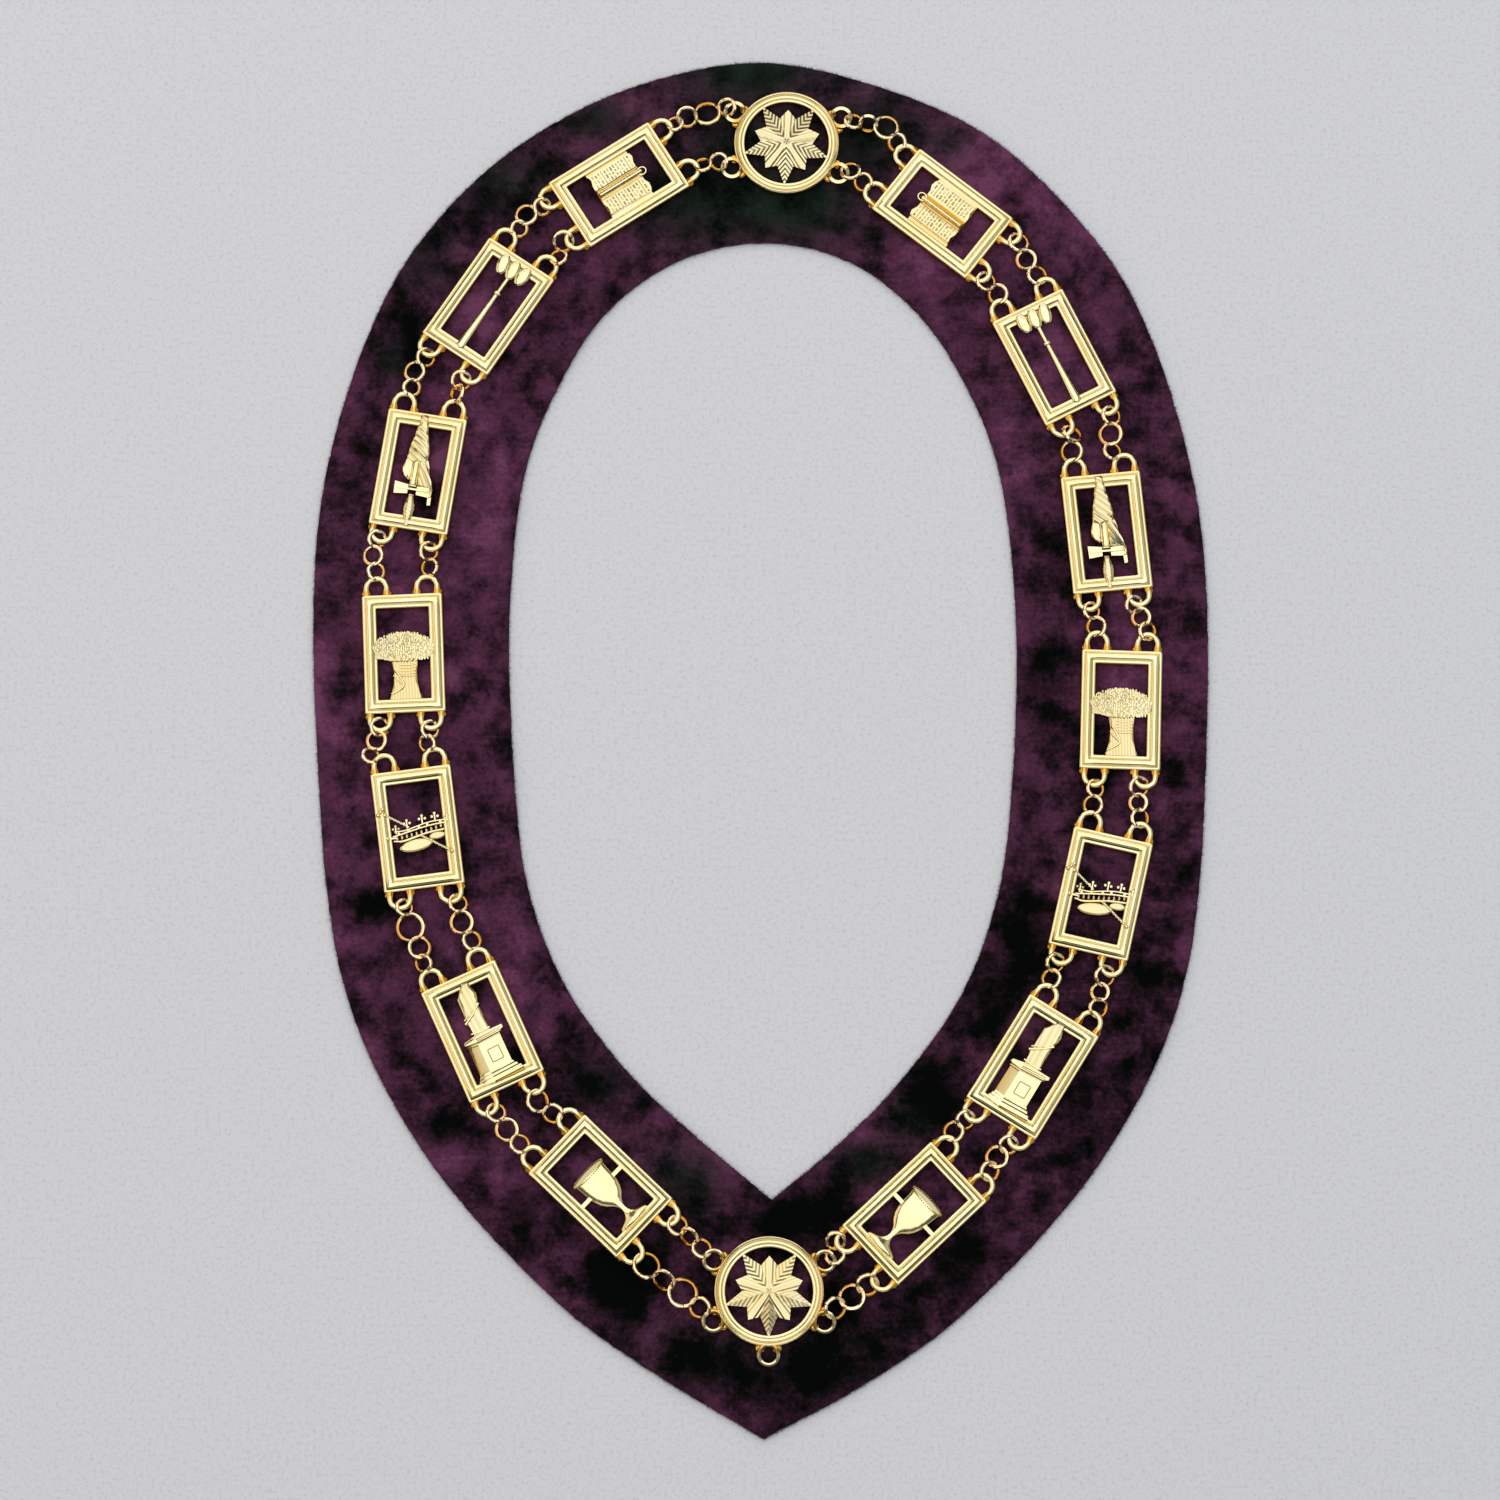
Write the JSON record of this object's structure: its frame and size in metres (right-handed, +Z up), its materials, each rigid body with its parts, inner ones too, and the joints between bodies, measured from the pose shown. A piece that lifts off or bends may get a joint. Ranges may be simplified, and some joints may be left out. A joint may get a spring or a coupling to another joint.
{
  "type": "chain collar",
  "caption": "Ceremonial collar: a velvet band worn round the neck that carries star medallions and framed emblem plaques joined by double runs of jump rings.",
  "frame": {"origin": "middle of the collar's footprint, on the surface that it lies on, under the velvet", "axes": "+X to the right-hand side as the collar lies with its neck end up the page, +Y from the chest point to the neck end, +Z up out of the velvet's face"},
  "size_m": [0.3368, 0.5235, 0.0093],
  "materials": {
    "purple_velvet": "crushed pile, deep purple with near-black shading",
    "cast_gold": "high-polish pale yellow gold plate over cast metal",
    "ring_gold": "gold-plated drawn wire, a little deeper in colour than the castings"
  },
  "bodies": {
    "root": {"velvet_backing": "purple_velvet", "medallion_neck": "cast_gold", "medallion_chest": "cast_gold", "plaque_book_left": "cast_gold", "plaque_gavel_left": "cast_gold", "plaque_sword_left": "cast_gold", "plaque_sheaf_left": "cast_gold", "plaque_crown_left": "cast_gold", "plaque_column_left": "cast_gold", "plaque_cup_left": "cast_gold", "plaque_book_right": "cast_gold", "plaque_gavel_right": "cast_gold", "plaque_sword_right": "cast_gold", "plaque_sheaf_right": "cast_gold", "plaque_crown_right": "cast_gold", "plaque_column_right": "cast_gold", "plaque_cup_right": "cast_gold", "links_left_1_outer": "ring_gold", "links_left_1_inner": "ring_gold", "links_left_2_outer": "ring_gold", "links_left_2_inner": "ring_gold", "links_left_3_outer": "ring_gold", "links_left_3_inner": "ring_gold", "links_left_4_outer": "ring_gold", "links_left_4_inner": "ring_gold", "links_left_5_outer": "ring_gold", "links_left_5_inner": "ring_gold", "links_left_6_outer": "ring_gold", "links_left_6_inner": "ring_gold", "links_left_7_outer": "ring_gold", "links_left_7_inner": "ring_gold", "links_left_8_outer": "ring_gold", "links_left_8_inner": "ring_gold", "links_right_1_outer": "ring_gold", "links_right_1_inner": "ring_gold", "links_right_2_outer": "ring_gold", "links_right_2_inner": "ring_gold", "links_right_3_outer": "ring_gold", "links_right_3_inner": "ring_gold", "links_right_4_outer": "ring_gold", "links_right_4_inner": "ring_gold", "links_right_5_outer": "ring_gold", "links_right_5_inner": "ring_gold", "links_right_6_outer": "ring_gold", "links_right_6_inner": "ring_gold", "links_right_7_outer": "ring_gold", "links_right_7_inner": "ring_gold", "links_right_8_outer": "ring_gold", "links_right_8_inner": "ring_gold"}
  },
  "joints": []
}
